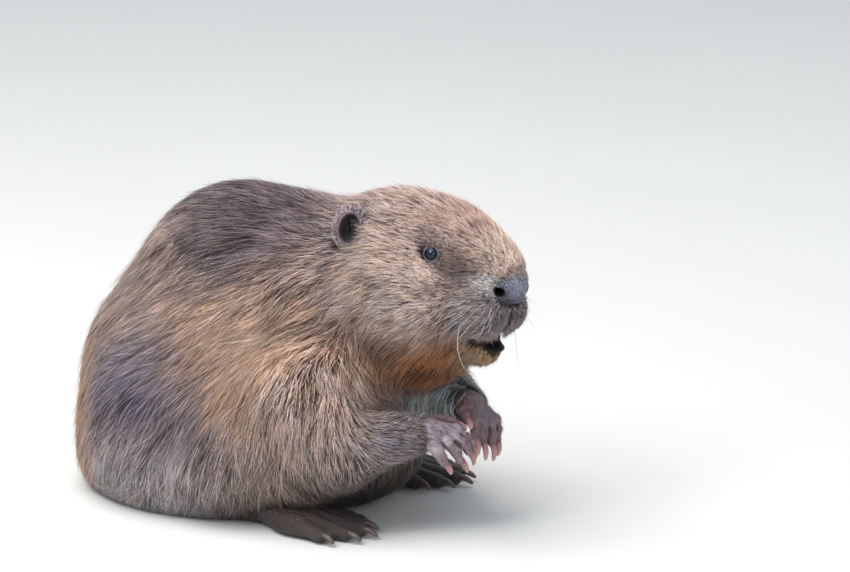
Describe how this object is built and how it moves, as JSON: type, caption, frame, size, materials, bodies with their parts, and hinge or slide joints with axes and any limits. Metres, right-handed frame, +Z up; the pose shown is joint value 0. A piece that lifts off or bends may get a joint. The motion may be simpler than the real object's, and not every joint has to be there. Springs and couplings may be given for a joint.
{
  "type": "beaver",
  "caption": "Young beaver sitting up on its haunches, forepaws raised under the chin, coarse brown coat, webbed hind feet and a flat scaly tail laid to one side.",
  "frame": {"origin": "middle of the whole model's footprint, on the floor", "axes": "+X towards the nose, +Y to the animal's left, +Z up"},
  "size_m": [0.5052, 0.3592, 0.281],
  "materials": {
    "fur": "coarse guard hairs over dense underfur",
    "ear_skin": "thin dark skin with a short pale fringe",
    "nose_leather": "fine grained, slightly moist",
    "eye": "wet and glossy",
    "paw_skin": "creased bare skin with sparse hair",
    "claw_horn": "smooth horn",
    "tail_leather": "scaly and matt"
  },
  "bodies": {
    "root": {"trunk": "fur", "neck": "fur", "head": "fur", "lower_jaw": "fur", "nose_pad": "nose_leather", "eye_left": "eye", "eye_right": "eye", "ear_left": "ear_skin", "ear_right": "ear_skin", "foreleg_left": "fur", "foreleg_right": "fur", "forepaw_left": "paw_skin", "forepaw_right": "paw_skin", "fore_claw_left_1": "claw_horn", "fore_claw_left_2": "claw_horn", "fore_claw_left_3": "claw_horn", "fore_claw_left_4": "claw_horn", "fore_claw_left_5": "claw_horn", "fore_claw_right_1": "claw_horn", "fore_claw_right_2": "claw_horn", "fore_claw_right_3": "claw_horn", "fore_claw_right_4": "claw_horn", "fore_claw_right_5": "claw_horn", "hind_leg_left": "fur", "hind_leg_right": "fur", "hind_foot_left": "paw_skin", "hind_foot_right": "paw_skin", "hind_claw_left_1": "claw_horn", "hind_claw_left_2": "claw_horn", "hind_claw_left_3": "claw_horn", "hind_claw_left_4": "claw_horn", "hind_claw_left_5": "claw_horn", "hind_claw_right_1": "claw_horn", "hind_claw_right_2": "claw_horn", "hind_claw_right_3": "claw_horn", "hind_claw_right_4": "claw_horn", "hind_claw_right_5": "claw_horn", "tail_root": "fur", "tail_paddle": "tail_leather"}
  },
  "joints": []
}
